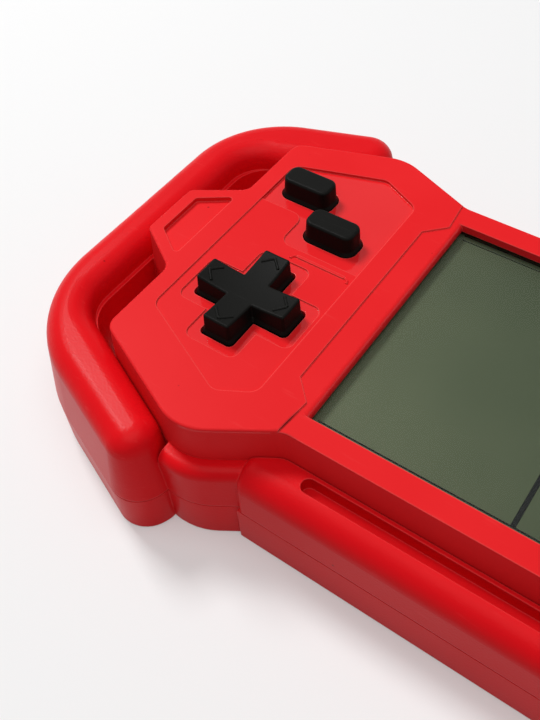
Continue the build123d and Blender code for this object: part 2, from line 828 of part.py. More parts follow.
# Rubber keypads: a thin mat on the board with a dome under each contact
pad_domes = [(-pad_x + dx * pad_dome_offset, pad_y + dy * pad_dome_offset)
             for dx, dy in ((1, 0), (0, 1), (-1, 0), (0, -1))]
pill_centre_x = waist_x + (pill_upper_run + pill_lower_run) / 2
pill_centre_y = (pill_upper_y + pill_lower_y) / 2
pill_mat_x = pill_upper_run - pill_lower_run + 2 * (dome_radius + pill_mat_margin)
pill_mat_y = pill_upper_y - pill_lower_y + 2 * (dome_radius + pill_mat_margin)
keypads = {
    "dpad_keypad": ((-pad_x, pad_y), (pad_mat_side, pad_mat_side), pad_domes),
    "turn_keypad": (turn_centre, (turn_mat_side, turn_mat_side), [turn_centre]),
    "left_keypad": ((-pill_centre_x, pill_centre_y), (pill_mat_x, pill_mat_y), left_pills),
    "right_keypad": ((pill_centre_x, pill_centre_y), (pill_mat_x, pill_mat_y), right_pills),
}
for name, (centre, mat_size, domes) in keypads.items():
    with BuildPart() as keypad:
        with BuildSketch(Plane.XY.offset(board_top)):
            with Locations(centre):
                RectangleRounded(*mat_size, board_corner_radius)
        extrude(amount=mat_thickness)
        with BuildSketch(Plane.XY.offset(mat_top)):
            with Locations(*domes):
                Circle(dome_radius)
        extrude(amount=dome_height, taper=dome_slope)
    keypad.part.label = name
    export_step(keypad.part, f"parts/{name}.step")

# Directional pad: dished cross with a flare at its foot, a hidden flange, and a hub over the pivot
neck_top = pool_level + flare_height
pad_top = pool_level + pad_height
pad_flange_bottom = ceiling - pad_flange_drop - flange_thickness
pivot_bottom = mat_top + pivot_gap
pivot_top = pivot_bottom + pivot_height
neck_span = pad_span + 2 * flare_reach
neck_arm = pad_arm + 2 * flare_reach
neck_radius = pad_corner_radius + flare_reach
flare_angle = degrees(atan2(flare_reach, flare_height))
dish_radius = (pad_span / 2 + pad_edge_radius) ** 2 / (2 * pad_dish)
with BuildPart() as dpad:
    with BuildSketch(Plane.XY.offset(neck_top)):
        with Locations(pad_centre):
            add(cross_plan(pad_span, pad_arm, pad_corner_radius))
    extrude(amount=pad_top - neck_top, taper=pad_draft)
    with Locations((-pad_x, pad_y, pad_top - pad_dish + dish_radius)):
        Sphere(dish_radius, mode=Mode.SUBTRACT)
    fillet(dpad.faces().sort_by(Axis.Z)[-1].edges(), pad_edge_radius)
    with BuildSketch(Plane.XY.offset(pad_flange_bottom)):
        with Locations(pad_centre):
            add(cross_plan(neck_span, neck_arm, neck_radius))
    extrude(amount=pool_level - pad_flange_bottom)
    with BuildSketch(Plane.XY.offset(pool_level)):
        with Locations(pad_centre):
            add(cross_plan(neck_span, neck_arm, neck_radius))
    extrude(amount=flare_height, taper=flare_angle)
    with BuildSketch(Plane.XY.offset(pad_flange_bottom)):
        with Locations(pad_centre):
            add(cross_plan(neck_span + 2 * pad_flange_reach, neck_arm + 2 * pad_flange_reach))
    extrude(amount=flange_thickness)
    with BuildSketch(Plane.XY.offset(pad_flange_bottom)):
        with Locations(pad_centre):
            add(cross_plan(neck_span - 2 * pad_wall, neck_arm - 2 * pad_wall))
    extrude(amount=neck_top - pad_core_roof - pad_flange_bottom, mode=Mode.SUBTRACT)
    with BuildSketch(Plane.XY.offset(dome_top + pad_plunger_gap)):
        with Locations(*pad_domes):
            Circle(plunger_radius)
    extrude(amount=neck_top - dome_top - pad_plunger_gap)
    with BuildSketch(Plane.XY.offset(pivot_top + pivot_gap)):
        with Locations(pad_centre):
            Circle(pad_hub_radius)
    extrude(amount=neck_top - pivot_top - pivot_gap)
dpad.part.label = "dpad"
export_step(dpad.part, "parts/dpad.step")

with BuildPart() as dpad_pivot:
    with BuildSketch(Plane.XY.offset(pivot_bottom)):
        with Locations(pad_centre):
            Circle(pivot_radius)
    extrude(amount=pivot_height)
    fillet(dpad_pivot.edges().group_by(Axis.Z)[-1], pivot_gap)
dpad_pivot.part.label = "dpad_pivot"
export_step(dpad_pivot.part, "parts/dpad_pivot.step")

# Pill buttons and the round turn button, each held under the face by a flange
button_flange_bottom = ceiling - button_flange_drop - flange_thickness
flange_neck_flare = (
    (flare_reach + button_flange_reach, button_flange_bottom, flange_thickness, 0),
    (flare_reach, button_flange_bottom, pool_level - button_flange_bottom, 0),
    (flare_reach, pool_level, flare_height, flare_angle),
)
buttons = {
    "left_upper_button": left_pills[0],
    "left_lower_button": left_pills[1],
    "right_upper_button": right_pills[0],
    "right_lower_button": right_pills[1],
}
for name, place in buttons.items():
    with BuildPart() as button:
        with BuildSketch(Plane.XY.offset(neck_top)):
            with Locations(place):
                RectangleRounded(pill_length, pill_width, pill_corner_radius)
        extrude(amount=pool_level + pill_height - neck_top, taper=pad_draft)
        fillet(button.edges().group_by(Axis.Z)[-1], pill_edge_radius)
        for reach, level, height, slope in flange_neck_flare:
            with BuildSketch(Plane.XY.offset(level)):
                with Locations(place):
                    RectangleRounded(
                        pill_length + 2 * reach,
                        pill_width + 2 * reach,
                        pill_corner_radius + reach,
                    )
            extrude(amount=height, taper=slope)
        with BuildSketch(Plane.XY.offset(dome_top + plunger_gap)):
            with Locations(place):
                Circle(plunger_radius)
        extrude(amount=neck_top - dome_top - plunger_gap)
    button.part.label = name
    export_step(button.part, f"parts/{name}.step")

with BuildPart() as turn_button:
    with BuildSketch(Plane.XY.offset(neck_top)):
        with Locations(turn_centre):
            Circle(round_radius)
    extrude(amount=pool_level + round_height - neck_top, taper=pad_draft)
    fillet(turn_button.edges().group_by(Axis.Z)[-1], round_edge_radius)
    for reach, level, height, slope in flange_neck_flare:
        with BuildSketch(Plane.XY.offset(level)):
            with Locations(turn_centre):
                Circle(round_radius + reach)
        extrude(amount=height, taper=slope)
    with BuildSketch(Plane.XY.offset(dome_top + plunger_gap)):
        with Locations(turn_centre):
            Circle(plunger_radius)
    extrude(amount=neck_top - dome_top - plunger_gap)
turn_button.part.label = "turn_button"
export_step(turn_button.part, "parts/turn_button.step")

# Two cells, head to tail, each pushed towards its own flat contact
cell_body = cell_length - cell_nub_height
for name, side in (("battery_one", 1), ("battery_two", -1)):
    cell_plane = Plane(
        origin=(side * (cell_shift - cell_length / 2), side * cell_row_y, cell_centre_z),
        x_dir=(0, 1, 0),
        z_dir=(side, 0, 0),
    )
    with BuildPart() as cell:
        with BuildSketch(cell_plane):
            Circle(cell_radius)
        extrude(amount=cell_body)
        with BuildSketch(cell_plane.offset(cell_body)):
            Circle(cell_nub_radius)
        extrude(amount=cell_nub_height)
    cell.part.label = name
    export_step(cell.part, f"parts/{name}.step")


def leaf_and_bump(side, with_leaf, with_bump):
    """The sprung leaf against one cell's flat end and the bump against the other's nub."""
    wall_x = bay_half_x - contact_thickness
    leaf_reach = wall_x - (cell_length / 2 - cell_shift) - contact_gap
    bump_reach = wall_x - (cell_length / 2 + cell_shift) - contact_gap
    with BuildPart() as contact_form:
        if with_leaf:
            with BuildSketch(Plane.XZ.offset(side * cell_row_y - leaf_width / 2)):
                with BuildLine():
                    Polyline(
                        (side * wall_x, cell_centre_z + leaf_half),
                        (side * (wall_x - leaf_reach), cell_centre_z),
                        (side * wall_x, cell_centre_z - leaf_half),
                        (side * wall_x, cell_centre_z - leaf_half + 2 * contact_thickness),
                        (side * (wall_x - leaf_reach + 2 * contact_thickness), cell_centre_z),
                        (side * wall_x, cell_centre_z + leaf_half - 2 * contact_thickness),
                        close=True,
                    )
                make_face()
            extrude(amount=leaf_width)
        if with_bump:
            bump_plane = Plane((side * wall_x, side * cell_row_y, cell_centre_z), z_dir=(-side, 0, 0))
            with BuildSketch(bump_plane):
                Circle(bump_radius)
            extrude(amount=bump_reach)
    return contact_form.part


contact_plates = {
    "bridge_contact": (1, 0, 2 * cell_row_y + contact_width, True, True),
    "positive_contact": (-1, -cell_row_y, contact_width, False, True),
    "negative_contact": (-1, cell_row_y, contact_width, True, False),
}
for name, (side, centre_y, width, with_leaf, with_bump) in contact_plates.items():
    form = leaf_and_bump(side, with_leaf, with_bump)
    with BuildPart() as contact:
        wall_plane = Plane((side * bay_half_x, centre_y, cell_centre_z), x_dir=(0, 1, 0), z_dir=(-side, 0, 0))
        with BuildSketch(wall_plane):
            Rectangle(width, contact_height)
        extrude(amount=contact_thickness)
        add(form)
        if side < 0:
            with BuildSketch(Plane.XY.offset(cell_centre_z)):
                with Locations((-bay_half_x + contact_thickness / 2, centre_y)):
                    Rectangle(contact_thickness, tail_width)
            extrude(amount=board_bottom - cell_centre_z)
    contact.part.label = name
    export_step(contact.part, f"parts/{name}.step")

# Screws
with BuildPart() as case_screws:
    with BuildSketch(Plane.XY.offset(screw_seat - screw_head_height)):
        with Locations(*case_screw_places):
            Circle(screw_head_radius)
    extrude(amount=screw_head_height)
    with BuildSketch(Plane.XY.offset(screw_seat)):
        with Locations(*case_screw_places):
            Circle(screw_radius - thread_gap)
    extrude(amount=screw_length)
    with BuildSketch(Plane.XY.offset(screw_seat - screw_head_height)):
        with Locations(*case_screw_places):
            Rectangle(recess_length, recess_width)
            Rectangle(recess_width, recess_length)
    extrude(amount=recess_depth, mode=Mode.SUBTRACT)
case_screws.part.label = "case_screws"
export_step(case_screws.part, "parts/case_screws.step")

with BuildPart() as board_screws:
    with BuildSketch(Plane.XY.offset(board_bottom)):
        with Locations(*board_screw_places):
            Circle(board_head_radius)
    extrude(amount=-board_head_height)
    with BuildSketch(Plane.XY.offset(board_bottom)):
        with Locations(*board_screw_places):
            Circle(board_screw_radius - thread_gap)
    extrude(amount=board_thickness + housing_wall)
board_screws.part.label = "board_screws"
export_step(board_screws.part, "parts/board_screws.step")
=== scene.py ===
# %% [markdown]
# # A red handheld game console
# The console is a moulded shell with two carrying bumpers, a dark screen and smooth black buttons. The
# imported model already holds its larger pieces at their real size, so this script gives each of them its
# surface: softened edges and a material with the grain, gloss and wear that the real plastic has, and a
# painted highlight along the edges. Three small things are too fine for the solids and are made here: the
# arrows on the directional pad, the dark lines on the screen glass, and the hooked ends of a short rib
# beside the pad.

# %% Load the frame
import json
import math

import bmesh
import bpy
from mathutils import Matrix, Vector


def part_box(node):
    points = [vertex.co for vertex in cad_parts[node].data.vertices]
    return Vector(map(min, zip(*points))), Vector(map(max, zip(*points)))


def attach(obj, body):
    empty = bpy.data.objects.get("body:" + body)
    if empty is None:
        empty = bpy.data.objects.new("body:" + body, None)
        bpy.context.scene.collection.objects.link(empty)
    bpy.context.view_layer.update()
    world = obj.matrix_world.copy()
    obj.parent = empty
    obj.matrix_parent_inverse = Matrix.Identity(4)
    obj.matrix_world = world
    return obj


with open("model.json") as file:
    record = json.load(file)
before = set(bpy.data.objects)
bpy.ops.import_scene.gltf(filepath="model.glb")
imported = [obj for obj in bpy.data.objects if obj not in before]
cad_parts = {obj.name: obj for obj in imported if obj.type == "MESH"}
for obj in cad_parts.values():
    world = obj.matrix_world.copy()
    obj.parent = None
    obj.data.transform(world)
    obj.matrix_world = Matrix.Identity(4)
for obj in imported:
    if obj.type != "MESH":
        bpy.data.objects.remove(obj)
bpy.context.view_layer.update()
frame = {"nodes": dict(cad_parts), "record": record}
nodes = frame["nodes"]
mm = 0.001

# %% [markdown]
# ## Camera
# The photograph was taken from close by, above the near side of the console, looking down and to the
# left, so the right half runs out of the frame. The lens and the place of the camera were worked out from
# the straight edges of the console, whose real directions are known. The three vectors are the camera's
# right, down and forward directions in the frame. A Blender camera looks along its own -Z axis with +Y
# up, so its turn is made of the right vector and the other two reversed.


# %% Camera
def put_in_scene(name, data):
    """Make an object for a mesh, curve, lamp or camera, and link it to the scene."""
    thing = bpy.data.objects.new(name, data)
    bpy.context.scene.collection.objects.link(thing)
    return thing


camera_place = Vector((9.260, -103.840, 163.0)) * mm
camera_right = Vector((0.81445719, 0.57811366, -0.04943772))
camera_down = Vector((0.42985191, -0.65841739, -0.61782997))
camera_forward = Vector((-0.3897266, 0.48194516, -0.78475604))
lens_in_mm = 41.91
sensor_in_mm = 36.0
nearest_seen = 5.0 * mm

camera_data = bpy.data.cameras.new("camera")
camera_data.lens = lens_in_mm
camera_data.sensor_width = sensor_in_mm
camera_data.clip_start = nearest_seen
camera = put_in_scene("camera", camera_data)
camera_turn = Matrix((camera_right, -camera_down, -camera_forward)).transposed().to_4x4()
camera.matrix_world = Matrix.Translation(camera_place) @ camera_turn
bpy.context.scene.camera = camera
print("camera", [round(c, 4) for c in camera.location])

# %% [markdown]
# ## A short way to write node trees
# Every material here is a tree of nodes. `add` makes one node, sets its values, and links a socket
# wherever a socket is given instead of a number, so that a tree reads from its first node to its last.
# The three helpers after it are the steps that nearly every tree needs: some arithmetic, a ramp from one
# value to another, and the place of a point on its piece.


# %% Node helpers
def add(tree, kind, values=None, **settings):
    """Make a node, set its properties, then set or link its inputs by name or number."""
    node = tree.nodes.new(kind)
    for key, value in settings.items():
        setattr(node, key, value)
    for key, value in (values or {}).items():
        socket = node.inputs[key]
        if isinstance(value, bpy.types.NodeSocket):
            tree.links.new(value, socket)
        else:
            socket.default_value = value
    return node


def calculate(tree, operation, *values):
    """The result of a Math node on numbers or sockets."""
    return add(tree, "ShaderNodeMath", dict(enumerate(values)), operation=operation).outputs[0]


def step_between(tree, value, start, end, low=0.0, high=1.0):
    """A value that goes from low to high while another goes from start to end."""
    wanted = {"Value": value, "From Min": start, "From Max": end, "To Min": low, "To Max": high}
    return add(tree, "ShaderNodeMapRange", wanted).outputs["Result"]


def own_place(tree):
    """The place of each point in its piece's own coordinates, which are metres in the shared frame."""
    return add(tree, "ShaderNodeTexCoord").outputs["Object"]


# %% [markdown]
# ## Grain and clouding
# Moulded plastic is never one flat colour. It has a fine spark-eroded grain, and a slow clouding where
# the melt cooled at different speeds. Both are noise on the piece's own coordinates, so they are built
# once, as a group that every plastic here uses with its own sizes. The sizes are in millimetres, and a
# noise counts its lumps per metre, so each size is turned into a number per metre first.


# %% Grain group
def group_tree(name, inputs, outputs):
    """An empty shader group with named number inputs and outputs."""
    tree = bpy.data.node_groups.new(name, "ShaderNodeTree")
    for label, value in inputs.items():
        socket = tree.interface.new_socket(label, in_out="INPUT", socket_type="NodeSocketFloat")
        socket.default_value = value
    for label in outputs:
        tree.interface.new_socket(label, in_out="OUTPUT", socket_type="NodeSocketFloat")
    return tree, tree.nodes.new("NodeGroupInput").outputs, tree.nodes.new("NodeGroupOutput").inputs


def count_per_metre(tree, size):
    """How many lumps or cells of a size in millimetres fit in one metre."""
    return calculate(tree, "DIVIDE", 1 / mm, size)


grain_detail = 2.0
cloud_detail = 3.0
grain_group, grain_in, grain_out = group_tree(
    "moulded_grain", {"Grain Size": 0.35, "Cloud Size": 30.0}, ["Height", "Cloud"])
grain_place = own_place(grain_group)
noises = (("Grain Size", grain_detail, "Height"), ("Cloud Size", cloud_detail, "Cloud"))
for size_name, detail, result in noises:
    scale = count_per_metre(grain_group, grain_in[size_name])
    noise = add(
        grain_group, "ShaderNodeTexNoise", {"Vector": grain_place, "Scale": scale, "Detail": detail})
    grain_group.links.new(noise.outputs["Fac"], grain_out[result])
print("grain group", len(grain_group.nodes), "nodes")

# %% [markdown]
# ## Lit and rubbed edges
# Rounded edges catch the light and handling rubs them, so a paler colour is painted along them: a painted
# highlight as well as wear. The edge mask compares the surface's normal with one that a Bevel node rounds
# off. Their dot product is 1 where they agree, on flat ground, and falls only near an edge. So the mask
# starts a little under 1, and is full where the two normals lean well apart.

# %% Edge mask
edge_samples = 6
edge_starts = 0.995
edge_is_full = 0.80
sheen_and_wear_group, sheen_and_wear_in, sheen_and_wear_out = group_tree(
    "sheen_and_wear", {"Edge Width": 0.5, "Speck Spacing": 9.0}, ["Edge", "Scuff", "Speck"])
edge_width = calculate(sheen_and_wear_group, "MULTIPLY", sheen_and_wear_in["Edge Width"], mm)
rounded_normal = add(sheen_and_wear_group, "ShaderNodeBevel", {"Radius": edge_width}, samples=edge_samples)
flat_normal = add(sheen_and_wear_group, "ShaderNodeNewGeometry")
agreement = add(
    sheen_and_wear_group, "ShaderNodeVectorMath",
    {0: rounded_normal.outputs["Normal"], 1: flat_normal.outputs["Normal"]}, operation="DOT_PRODUCT")
edge_mask = step_between(sheen_and_wear_group, agreement.outputs["Value"], edge_starts, edge_is_full)
sheen_and_wear_group.links.new(edge_mask, sheen_and_wear_out["Edge"])
print("edge mask", len(sheen_and_wear_group.nodes), "nodes")

# %% [markdown]
# ## Scuffs and specks
# Use leaves short scuffs and small dark specks. Scuffs are a noise that a Mapping node turns and squeezes
# more across than along, so that its lumps become streaks, and only the highest of them show. Specks are
# the middles of the cells of a Voronoi pattern. Its cells fill space, and the surface meets few of the
# middles, so specks are rare.

# %% Scuffs and specks
scuff_turn = 0.42
scuffs_along = 90.0
scuffs_across = 900.0
scuff_detail = 3.0
scuff_starts = 0.66
scuff_is_full = 0.76
speck_rim = 0.035
speck_core = 0.02
wear_place = own_place(sheen_and_wear_group)
squeeze = (scuffs_along, scuffs_across, scuffs_across)
stretched = add(
    sheen_and_wear_group, "ShaderNodeMapping",
    {"Vector": wear_place, "Rotation": (0.0, 0.0, scuff_turn), "Scale": squeeze})
streaks = add(
    sheen_and_wear_group, "ShaderNodeTexNoise",
    {"Vector": stretched.outputs["Vector"], "Scale": 1.0, "Detail": scuff_detail})
scuff_mask = step_between(sheen_and_wear_group, streaks.outputs["Fac"], scuff_starts, scuff_is_full)
sheen_and_wear_group.links.new(scuff_mask, sheen_and_wear_out["Scuff"])
spacing = count_per_metre(sheen_and_wear_group, sheen_and_wear_in["Speck Spacing"])
cells = add(sheen_and_wear_group, "ShaderNodeTexVoronoi", {"Vector": wear_place, "Scale": spacing})
speck_mask = step_between(sheen_and_wear_group, cells.outputs["Distance"], speck_rim, speck_core)
sheen_and_wear_group.links.new(speck_mask, sheen_and_wear_out["Speck"])
print("wear group", len(sheen_and_wear_group.nodes), "nodes")

# %% [markdown]
# ## Tools for materials
# These helpers find or start a material, mix two colours, ramp a value by a share, and place a shared
# group. A Mix node keeps sockets for every kind of data, so its two colours are its inputs 6 and 7, and
# the mixed colour is its output 2.


# %% Material helpers
def shader_of(material):
    """The Principled shader of a material."""
    return material.node_tree.nodes["Principled BSDF"]


def new_material(name):
    """A new material, its node tree and its Principled shader."""
    material = bpy.data.materials.new(name)
    material.use_nodes = True
    return material, material.node_tree, shader_of(material)


mix_share_input = 0
mix_colour_inputs = (6, 7)
mix_colour_output = 2


def mix_colours(tree, share, first, second):
    """Mix two colours, each a socket or three numbers, by a share that is a socket."""
    node = add(tree, "ShaderNodeMix", {mix_share_input: share}, data_type="RGBA")
    for number, colour in zip(mix_colour_inputs, (first, second)):
        if isinstance(colour, bpy.types.NodeSocket):
            tree.links.new(colour, node.inputs[number])
        else:
            node.inputs[number].default_value = (*colour, 1.0)
    return node.outputs[mix_colour_output]


def by_share(tree, share, low, high):
    """A value that goes from low to high while a share goes from nothing to all."""
    return step_between(tree, share, 0.0, 1.0, low, high)


def placed_group(tree, group, values):
    """Put a shared group in a material with its own values, and give its outputs."""
    return add(tree, "ShaderNodeGroup", values, node_tree=group).outputs


# %% [markdown]
# ## One recipe for every plastic
# The recipe gives each plastic a base colour, a second colour for the clouds, a paler colour for edges
# and scuffs, a roughness and a grain depth. On the edges that paler colour is a painted highlight, where
# their rounding catches the light, as well as wear. A Bevel node softens the sharp corners of the solid,
# and the grain goes on top of it as a bump. The painted highlight and wear on an edge reach a little
# further than the softened corner, and a speck is a darker shade of the base colour. The refractive
# index is the same all over, so it is set straight on the shader.

# %% Plastic recipe
cloud_starts = 0.35
cloud_is_full = 0.75
swing_starts = 0.3
swing_is_full = 0.7
roughness_swing = 0.03
edge_band_past_corner = 1.6
speck_shade = 0.25
corner_samples = 8


def plastic(name, colour, cloud_colour, sheen_and_wear_colour, roughness, grain_depth, grain_size=0.35, corner=0.3,
            edge=0.35, scuff=0.0, speck=0.0, index=1.35):
    """A moulded plastic, sized in millimetres. Edge, scuff and speck say how strong each mark is. The edge
    mark is a painted highlight along the rounded edges as well as wear.
    """
    material, tree, shader = new_material(name)
    grain = placed_group(tree, grain_group, {"Grain Size": grain_size})
    sheen_and_wear = placed_group(tree, sheen_and_wear_group, {"Edge Width": corner * edge_band_past_corner})
    speck_colour = tuple(part * speck_shade for part in colour)
    # The edge mark is a painted highlight along the rounded edges as well as wear; scuffs and specks are
    # wear.
    marks = (("Edge", edge, sheen_and_wear_colour), ("Scuff", scuff, sheen_and_wear_colour), ("Speck", speck, speck_colour))

    clouding = step_between(tree, grain["Cloud"], cloud_starts, cloud_is_full)
    colour_now = mix_colours(tree, clouding, colour, cloud_colour)
    for label, strength, mark_colour in marks:
        if strength:
            share = by_share(tree, sheen_and_wear[label], 0.0, strength)
            colour_now = mix_colours(tree, share, colour_now, mark_colour)
    tree.links.new(colour_now, shader.inputs["Base Color"])

    smoothest = roughness - roughness_swing
    roughest = roughness + roughness_swing
    rough = step_between(tree, grain["Cloud"], swing_starts, swing_is_full, smoothest, roughest)
    tree.links.new(rough, shader.inputs["Roughness"])
    soft = add(tree, "ShaderNodeBevel", {"Radius": corner * mm}, samples=corner_samples).outputs["Normal"]
    bump = add(
        tree, "ShaderNodeBump",
        {"Height": grain["Height"], "Distance": grain_depth * mm, "Normal": soft})
    tree.links.new(bump.outputs["Normal"], shader.inputs["Normal"])
    shader.inputs["IOR"].default_value = index
    return material


# %% [markdown]
# ## Red shell
# The raised face has a fine matt grain. The bumpers and the lower shell have a softer, smoother skin,
# which shows a broad highlight along the tube. Low refractive indexes keep the mirror of the pale room
# faint, so that the red stays deep.

# %% Red materials
face_roughness = 0.45
# The paler edge colour of both reds is a painted highlight along the rounded edges as well as wear.
red_face = plastic(
    "red_face",
    colour=(0.74, 0.017, 0.020), cloud_colour=(0.71, 0.013, 0.016), sheen_and_wear_colour=(1.0, 0.14, 0.13),
    roughness=face_roughness, grain_depth=0.014, grain_size=0.28, corner=0.28,
    edge=0.5, scuff=0.06, speck=0.6, index=1.13)
red_tube = plastic(
    "red_tube",
    colour=(0.69, 0.005, 0.009), cloud_colour=(0.65, 0.004, 0.008), sheen_and_wear_colour=(0.95, 0.10, 0.10),
    roughness=0.33, grain_depth=0.034, grain_size=0.50, corner=0.35,
    edge=0.35, scuff=0.10, speck=0.7, index=1.165)
print("red materials", red_face.name, red_tube.name)

# %% [markdown]
# ## Polished floors round the buttons
# The floors that are sunk round the buttons come from a polished part of the mould, so they mirror the
# black buttons a little. One material does both: it reads the height of the surface, and in the thin band
# between the sunken floor and the deck over it the roughness and the grain go down and a clear coat comes
# in. That takes the place of the recipe's own roughness.


# %% Polished floors
def coordinate(tree, axis):
    """One coordinate of each point's place on its piece."""
    return add(tree, "ShaderNodeSeparateXYZ", {0: own_place(tree)}).outputs[axis]


def source_of(node, label):
    """The socket that feeds an input now."""
    return node.inputs[label].links[0].from_socket


deck_level = 32.65 * mm
pool_level = 32.30 * mm
level_slack = 0.05 * mm
level_fade = 0.15 * mm
pool_roughness = 0.12
pool_coat = 0.35
pool_coat_roughness = 0.04
pool_grain = 0.15

face_tree = red_face.node_tree
face_shader = shader_of(red_face)
height = coordinate(face_tree, "Z")
over_floor = step_between(face_tree, height, pool_level - level_fade, pool_level - level_slack)
under_deck = step_between(face_tree, height, pool_level + level_slack, deck_level - level_fade, 1.0, 0.0)
in_pool = calculate(face_tree, "MULTIPLY", over_floor, under_deck)
roughness_here = by_share(face_tree, in_pool, face_roughness, pool_roughness)
face_tree.links.new(roughness_here, face_shader.inputs["Roughness"])
face_tree.links.new(by_share(face_tree, in_pool, 0.0, pool_coat), face_shader.inputs["Coat Weight"])
face_shader.inputs["Coat Roughness"].default_value = pool_coat_roughness
face_bump = source_of(face_shader, "Normal").node
face_tree.links.new(by_share(face_tree, in_pool, 1.0, pool_grain), face_bump.inputs["Strength"])
print("polished floors at", round(pool_level / mm, 2), "mm, deck at", round(deck_level / mm, 2), "mm")

# %% [markdown]
# ## A dark mark in a seam
# The seam by the near left corner of the screen is darker. The shared edge mask finds the edges, with its
# width set wider here, and the distance from one place keeps only those within a few millimetres of it.

# %% Dark mark in a seam
dark_mark_place = (-43.8 * mm, -34.3 * mm, 33.0 * mm)
dark_mark_fades_from = 1.0 * mm
dark_mark_ends_at = 4.0 * mm
dark_mark_width = 0.9
dark_mark_strength = 0.85
dark_mark_colour = (0.07, 0.012, 0.012)
away = add(
    face_tree, "ShaderNodeVectorMath", {0: own_place(face_tree), 1: dark_mark_place}, operation="DISTANCE")
nearness = step_between(face_tree, away.outputs["Value"], dark_mark_fades_from, dark_mark_ends_at, dark_mark_strength, 0.0)
seam = placed_group(face_tree, sheen_and_wear_group, {"Edge Width": dark_mark_width})["Edge"]
dark_mark = calculate(face_tree, "MULTIPLY", seam, nearness)
red_now = source_of(face_shader, "Base Color")
face_tree.links.new(mix_colours(face_tree, dark_mark, red_now, dark_mark_colour), face_shader.inputs["Base Color"])
print("red face", len(face_tree.nodes), "nodes")

# %% [markdown]
# ## Black buttons
# The buttons are moulded in a deep matt black. Their tops catch a soft grey sheen, and their sides stay
# almost black. All finished materials are kept by the name of the record's slot that they dress.

# %% Black material
# The paler edge colour of the black is a painted highlight along the rounded edges as well as wear.
black = plastic(
    "black_plastic",
    colour=(0.0040, 0.0040, 0.0035), cloud_colour=(0.0055, 0.0055, 0.0048),
    sheen_and_wear_colour=(0.030, 0.031, 0.028),
    roughness=0.42, grain_depth=0.014, grain_size=0.30, corner=0.25,
    edge=0.35, scuff=0.15, speck=0.0, index=1.13)
materials = {"red_plastic": red_tube, "black_plastic": black}
print("slots with a material", list(materials))

# %% [markdown]
# ## Screen glass
# The dark field is a liquid-crystal glass with a sheet behind it. It is grey-green, and a little paler
# towards the near left corner. A Mapping node turns the coordinates until Y runs from that corner to the
# one across from it, and a slow noise keeps the fade from being even.

# %% Liquid-crystal glass
glass_near_left = (0.128, 0.140, 0.088)
glass_far_right = (0.016, 0.032, 0.018)
fade_turn = 0.95
fade_reach = 45 * mm
mottle_scale = 45.0
mottle_detail = 2.0
mottle_strength = 0.25
fade_starts = 0.1
fade_is_full = 1.1
glass_roughness = 0.45
glass_index = 1.25

lcd_glass, tree, shader = new_material("lcd_glass")
place = own_place(tree)
turned = add(tree, "ShaderNodeMapping", {"Vector": place, "Rotation": (0.0, 0.0, fade_turn)})
along = add(tree, "ShaderNodeSeparateXYZ", {0: turned.outputs["Vector"]}).outputs["Y"]
even = step_between(tree, along, -fade_reach, fade_reach)
mottle = add(tree, "ShaderNodeTexNoise", {"Vector": place, "Scale": mottle_scale, "Detail": mottle_detail})
uneven = calculate(tree, "MULTIPLY_ADD", mottle.outputs["Fac"], mottle_strength, even)
fade = step_between(tree, uneven, fade_starts, fade_is_full)
tree.links.new(mix_colours(tree, fade, glass_near_left, glass_far_right), shader.inputs["Base Color"])
shader.inputs["Roughness"].default_value = glass_roughness
shader.inputs["IOR"].default_value = glass_index
materials["lcd_glass"] = lcd_glass
print("screen glass", len(tree.nodes), "nodes")

# %% [markdown]
# ## Window over the screen
# The window is a clear plate. A plain glass shader would keep the lamps off whatever lies under it, so
# the plate lets light straight through and adds a faint mirror by Fresnel. Light isn't bent on its way
# through, so the mirror is kept to the outer side of the faces, where no light can be caught inside.

# %% Clear window
window_tint = (0.93, 0.95, 0.93, 1.0)
window_roughness = 0.02
window_index = 1.16

clear_window, tree, shader = new_material("clear_window")
tree.nodes.remove(shader)
through = add(tree, "ShaderNodeBsdfTransparent", {"Color": window_tint}).outputs["BSDF"]
mirror = add(tree, "ShaderNodeBsdfGlossy", {"Roughness": window_roughness}).outputs["BSDF"]
outside = by_share(tree, add(tree, "ShaderNodeNewGeometry").outputs["Backfacing"], 1.0, 0.0)
slant = add(tree, "ShaderNodeFresnel", {"IOR": window_index}).outputs["Fac"]
share = calculate(tree, "MULTIPLY", slant, outside)
plate = add(tree, "ShaderNodeMixShader", {0: share, 1: through, 2: mirror}).outputs["Shader"]
tree.links.new(plate, tree.nodes["Material Output"].inputs["Surface"])
materials["clear_window"] = clear_window
print("window", len(tree.nodes), "nodes")

# %% [markdown]
# ## What is inside
# Opening the battery door shows two cells and their contacts, and the rest is there for whoever takes the
# console apart. These use the same recipe with the colours of their real materials: a soldered board
# under green resist, grey silicone keypads, and nickel-plated spring steel.

# %% Inner materials
columns = ("colour", "cloud_colour", "sheen_and_wear_colour", "roughness", "grain_depth")
